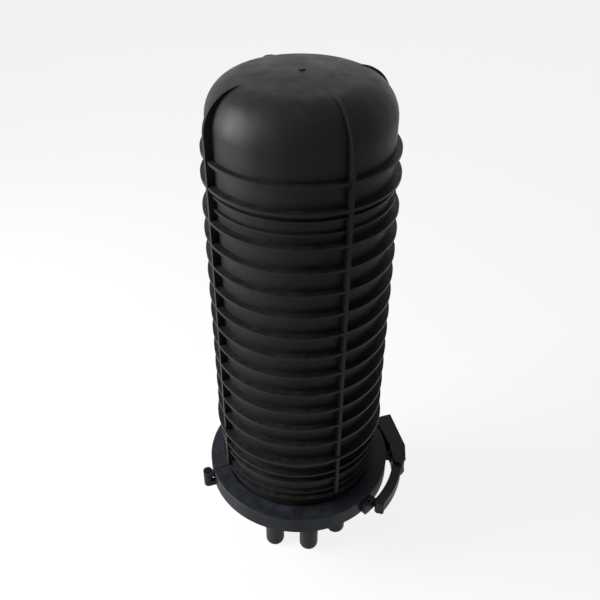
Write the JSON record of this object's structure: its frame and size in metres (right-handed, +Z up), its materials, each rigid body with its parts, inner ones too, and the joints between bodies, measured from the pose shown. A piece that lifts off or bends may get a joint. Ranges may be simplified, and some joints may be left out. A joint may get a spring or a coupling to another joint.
{
  "type": "dome splice closure",
  "caption": "Ribbed black dome clamped by a hinged ring with an over-centre latch to a base with closed cable ports, over a frame of splice trays.",
  "frame": {"origin": "on the dome's axis, level with the tips of the ports, which it stands on", "axes": "+Z up the axis to the dome's crown, -X towards the ring's hinge, +X towards the latch"},
  "size_m": [0.258, 0.2241, 0.6036],
  "materials": {
    "dome_plastic": "moulded black polyolefin",
    "base_plastic": "moulded black polyolefin",
    "seal_rubber": "black silicone rubber",
    "clamp_plastic": "black glass-filled nylon",
    "latch_plastic": "black glass-filled nylon",
    "steel": "stainless steel",
    "frame_steel": "zinc-plated sheet steel",
    "valve_brass": "turned brass",
    "cap_plastic": "black plastic",
    "basket_plastic": "dark grey plastic",
    "tray_plastic": "light grey ABS",
    "lid_clear": "clear polycarbonate",
    "holder_plastic": "blue plastic"
  },
  "bodies": {
    "base": {"base": "base_plastic", "seal_ring": "seal_rubber", "air_valve": "valve_brass", "air_valve_nut": "valve_brass", "air_valve_cap": "cap_plastic", "earth_stud": "steel", "earth_nuts": "steel", "tray_frame": "frame_steel", "frame_screws": "steel", "storage_basket": "basket_plastic", "basket_screws": "steel", "tray_stud_upper": "steel", "tray_stud_lower": "steel", "tray_nuts": "steel", "splice_tray_1": "tray_plastic", "splice_tray_2": "tray_plastic", "splice_tray_3": "tray_plastic", "splice_tray_4": "tray_plastic", "tray_lid_1": "lid_clear", "tray_lid_2": "lid_clear", "tray_lid_3": "lid_clear", "tray_lid_4": "lid_clear", "splice_holder_1": "holder_plastic", "splice_holder_2": "holder_plastic", "splice_holder_3": "holder_plastic", "splice_holder_4": "holder_plastic", "cable_clamp_1": "frame_steel", "cable_clamp_2": "frame_steel", "cable_clamp_3": "frame_steel", "cable_clamp_4": "frame_steel", "cable_clamp_5": "frame_steel", "cable_clamp_6": "frame_steel", "cable_clamp_screws": "steel"},
    "dome": {"dome": "dome_plastic"},
    "clamp_front": {"clamp_front_half": "clamp_plastic", "clamp_hinge_pin": "steel"},
    "clamp_rear": {"clamp_rear_half": "clamp_plastic"},
    "latch_lever": {"latch_lever": "latch_plastic", "latch_pivot_pin": "steel", "latch_link_pin": "steel"},
    "latch_link": {"latch_link": "latch_plastic"}
  },
  "joints": [
    {"name": "dome_lift", "type": "slide", "parent": "base", "child": "dome", "axis": [0, 0, 1], "range_m": [0, 0.36]},
    {"name": "clamp_front_swing", "type": "hinge", "parent": "base", "child": "clamp_front", "pos_m": [-0.118, 0, 0.11], "axis": [0, 0, -1], "range_deg": [0, 90]},
    {"name": "clamp_rear_swing", "type": "hinge", "parent": "base", "child": "clamp_rear", "pos_m": [-0.118, 0, 0.11], "axis": [0, 0, 1], "range_deg": [0, 90]},
    {"name": "latch_lever_swing", "type": "hinge", "parent": "clamp_front", "child": "latch_lever", "pos_m": [0.11511, -0.0419, 0.11], "axis": [0, 0, 1], "range_deg": [0, 115]},
    {"name": "latch_link_swing", "type": "hinge", "parent": "latch_lever", "child": "latch_link", "pos_m": [0.11312, -0.05686, 0.11], "axis": [0, 0, 1], "range_deg": [-135, 0]}
  ],
  "couplings": [
    {"joint": "clamp_front_swing", "follows": "dome_lift", "rad_per_m": 4.36},
    {"joint": "clamp_rear_swing", "follows": "dome_lift", "rad_per_m": 4.36},
    {"joint": "latch_link_swing", "follows": "latch_lever_swing", "ratio": -1.17}
  ]
}
